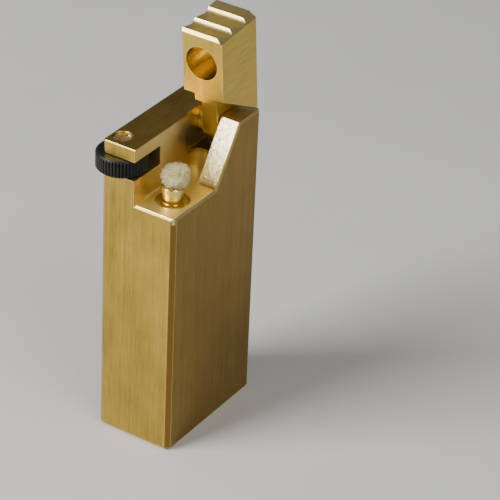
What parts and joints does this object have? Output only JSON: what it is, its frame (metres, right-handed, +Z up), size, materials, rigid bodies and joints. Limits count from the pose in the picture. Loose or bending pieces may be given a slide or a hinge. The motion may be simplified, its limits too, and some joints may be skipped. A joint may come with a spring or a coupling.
{
  "type": "pocket lighter",
  "caption": "Slim solid brass petrol lighter with a side thumb wheel, a fold-down snuffer lid over the wick tube and a screwed base",
  "frame": {"origin": "centre of the base's bottom face", "axes": "+Z up, X along the wide sides with the thumb wheel at -X and the lid hinge at +X, Y through the thickness with the wheel's bar at +Y and the lid at -Y"},
  "size_m": [0.0235, 0.0149, 0.0665],
  "materials": {
    "brushed_brass": "satin, finely brushed",
    "turned_brass": "bright turned",
    "screw_brass": "polished",
    "steel": "plain",
    "black_steel": "blackened, lightly worn",
    "flint": "dull",
    "wick_fibre": "braided, frayed at the end",
    "cotton": "loose",
    "felt": "felted",
    "seal_rubber": "matte"
  },
  "bodies": {
    "case": {"body": "brushed_brass", "base_plate": "brushed_brass", "base_gasket": "seal_rubber", "base_screws": "screw_brass", "axle_screw": "screw_brass", "wheel_bush": "turned_brass", "wheel_washer": "steel", "wick_tube": "turned_brass", "wick": "wick_fibre", "cotton_packing": "cotton", "felt_pad": "felt", "hinge_pin": "turned_brass", "hinge_washer": "turned_brass", "lid_spring": "steel", "flint_spring": "steel"},
    "snuffer": {"lid": "brushed_brass"},
    "wheel": {"spark_wheel": "black_steel"},
    "flint_feed_parts": {"flint": "flint", "flint_pusher": "turned_brass"},
    "plunger": {"lid_plunger": "steel"},
    "filler_plug": {"filler_screw": "screw_brass", "filler_seal": "seal_rubber"},
    "flint_plug": {"flint_screw": "screw_brass"}
  },
  "joints": [
    {"name": "lid_hinge", "type": "hinge", "parent": "case", "child": "snuffer", "pos_m": [0.00773, 0, 0.0474], "axis": [0, -1, 0], "range_deg": [-5.7, 84.2]},
    {"name": "wheel_spin", "type": "hinge", "parent": "case", "child": "wheel", "pos_m": [-0.00862, 0.00464, 0.0466], "axis": [0, 0, 1], "continuous": true},
    {"name": "flint_feed", "type": "slide", "parent": "case", "child": "flint_feed_parts", "axis": [0, 0, 1], "range_m": [-0.002, 0], "stiffness_N_per_m": 150, "springref_m": 0.01, "deforming": ["flint_spring"]},
    {"name": "lid_plunger_press", "type": "slide", "parent": "case", "child": "plunger", "axis": [0, 0, 1], "range_m": [-0.0006, 0], "stiffness_N_per_m": 800, "springref_m": 0.002, "deforming": ["lid_spring"]},
    {"name": "filler_draw", "type": "slide", "parent": "case", "child": "filler_plug", "axis": [0, 0, -1], "range_m": [0, 0.004]},
    {"name": "flint_screw_draw", "type": "slide", "parent": "case", "child": "flint_plug", "axis": [0, 0, -1], "range_m": [0, 0.0115]}
  ]
}
